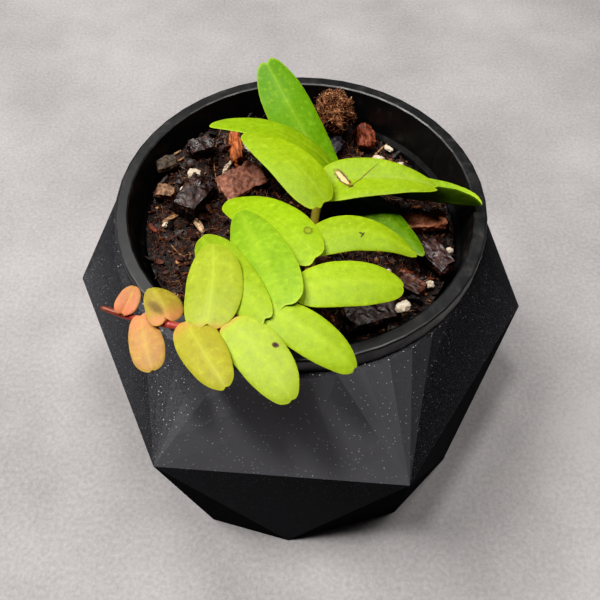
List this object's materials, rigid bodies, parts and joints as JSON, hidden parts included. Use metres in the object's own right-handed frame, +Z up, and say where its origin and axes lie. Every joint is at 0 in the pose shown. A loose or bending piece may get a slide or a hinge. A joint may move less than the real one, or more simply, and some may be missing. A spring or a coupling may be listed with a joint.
{
  "type": "potted dischidia in a faceted planter",
  "caption": "Climbing dischidia with paired fleshy leaves, rooted in bark mix in a black nursery pot that hangs by its rim in a faceted planter.",
  "frame": {"origin": "centre of the planter's base face", "axes": "+Z up; +Y towards the back of the pot, where the shoot rises; the shoot arches over the front rim towards -Y and turns to -X"},
  "size_m": [0.134, 0.125, 0.1183],
  "materials": {
    "planter_charcoal_plastic": "matte charcoal printed plastic with fine pale flecks",
    "nursery_pot_black_plastic": "thin black moulded plastic, soft gloss",
    "potting_mix_dark_brown": "damp dark bark and coir crumbs",
    "coir_brown": "dry matted coir fibre",
    "dischidia_leaf_green": "thick fleshy leaf, satin, lime to deep green",
    "dischidia_young_leaf_blush": "young fleshy leaf, satin, peach with a red stem",
    "perlite_white": "chalky popped grains",
    "bark_dark": "damp near-black bark",
    "bark_orange": "fresh orange bark",
    "bark_red": "red-brown bark",
    "bark_rose": "dull rose-brown bark",
    "bark_tan": "dry tan bark"
  },
  "bodies": {
    "root": {"planter": "planter_charcoal_plastic", "nursery_pot": "nursery_pot_black_plastic", "potting_mix": "potting_mix_dark_brown", "coir_clump": "coir_brown", "shoot_green": "dischidia_leaf_green", "shoot_young": "dischidia_young_leaf_blush", "bark_chip_01": "bark_orange", "bark_chip_02": "bark_rose", "bark_chip_03": "bark_dark", "bark_chip_04": "bark_tan", "bark_chip_05": "bark_tan", "bark_chip_06": "bark_red", "bark_chip_07": "bark_rose", "bark_chip_08": "bark_dark", "bark_chip_09": "bark_rose", "bark_chip_10": "bark_dark", "bark_chip_11": "bark_dark", "bark_chip_12": "bark_dark", "perlite_01": "perlite_white", "perlite_02": "perlite_white", "perlite_03": "perlite_white", "perlite_04": "perlite_white", "perlite_05": "perlite_white", "perlite_06": "perlite_white", "perlite_07": "perlite_white", "perlite_08": "perlite_white", "perlite_09": "perlite_white", "perlite_10": "perlite_white", "perlite_11": "perlite_white"}
  },
  "joints": []
}
